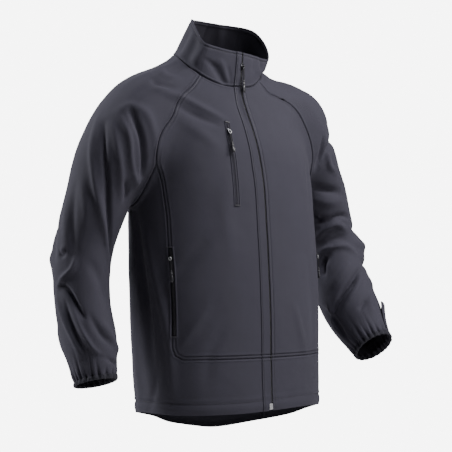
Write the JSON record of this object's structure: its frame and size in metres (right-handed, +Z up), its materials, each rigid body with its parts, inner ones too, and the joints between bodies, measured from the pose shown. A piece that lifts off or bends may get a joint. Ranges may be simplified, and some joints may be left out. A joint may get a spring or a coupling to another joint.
{
  "type": "softshell jacket",
  "caption": "Long-sleeved softshell jacket, filled out as worn: front zip, stand collar, chest and hand pocket zips, gathered cuffs, dropped back hem.",
  "frame": {"origin": "middle of the neck opening, level with the neck's sides: where a wearer's neck carries the jacket", "axes": "+Z up, front towards -Y, the wearer's left towards +X"},
  "size_m": [0.7553, 0.3193, 0.8625],
  "materials": {
    "softshell": "fine matte woven shell bonded to a darker fleece",
    "elastic_binding": "gathered stretch binding",
    "zip_tape": "woven zip tape with a closed moulded coil",
    "slider_metal": "dark satin",
    "pull_rubber": "satin moulded grip on a cord",
    "retainer_metal": "polished"
  },
  "bodies": {
    "jacket": {"back": "softshell", "collar": "softshell", "cuff_left": "elastic_binding", "cuff_right": "elastic_binding", "cuff_tab": "softshell", "front_left": "softshell", "front_right": "softshell", "placket": "softshell", "side_left": "softshell", "side_right": "softshell", "sleeve_left": "softshell", "sleeve_right": "softshell", "slider_chest": "slider_metal", "slider_hand_left": "slider_metal", "slider_hand_right": "slider_metal", "slider_main": "slider_metal", "zip_chest": "zip_tape", "zip_hand_left": "zip_tape", "zip_hand_right": "zip_tape", "zip_main": "zip_tape", "zip_retainer": "retainer_metal"},
    "pull_chest": {"pull_chest": "pull_rubber"},
    "pull_hand_left": {"pull_hand_left": "pull_rubber"},
    "pull_hand_right": {"pull_hand_right": "pull_rubber"},
    "pull_main": {"pull_main": "pull_rubber"}
  },
  "joints": [
    {"name": "swing_main", "type": "hinge", "parent": "jacket", "child": "pull_main", "pos_m": [-0.0018, -0.06524, -0.02476], "axis": [-0.9952, 0.0043, 0.0976], "range_deg": [0, 110]},
    {"name": "swing_chest", "type": "hinge", "parent": "jacket", "child": "pull_chest", "pos_m": [-0.06545, -0.10318, -0.16015], "axis": [-0.9824, 0.1867, -0.0044], "range_deg": [0, 110]},
    {"name": "swing_hand_right", "type": "hinge", "parent": "jacket", "child": "pull_hand_right", "pos_m": [-0.19094, -0.07262, -0.41441], "axis": [-0.5285, 0.8433, -0.0977], "range_deg": [0, 110]},
    {"name": "swing_hand_left", "type": "hinge", "parent": "jacket", "child": "pull_hand_left", "pos_m": [0.19075, -0.07231, -0.41444], "axis": [-0.4963, -0.8625, 0.099], "range_deg": [0, 110]}
  ]
}
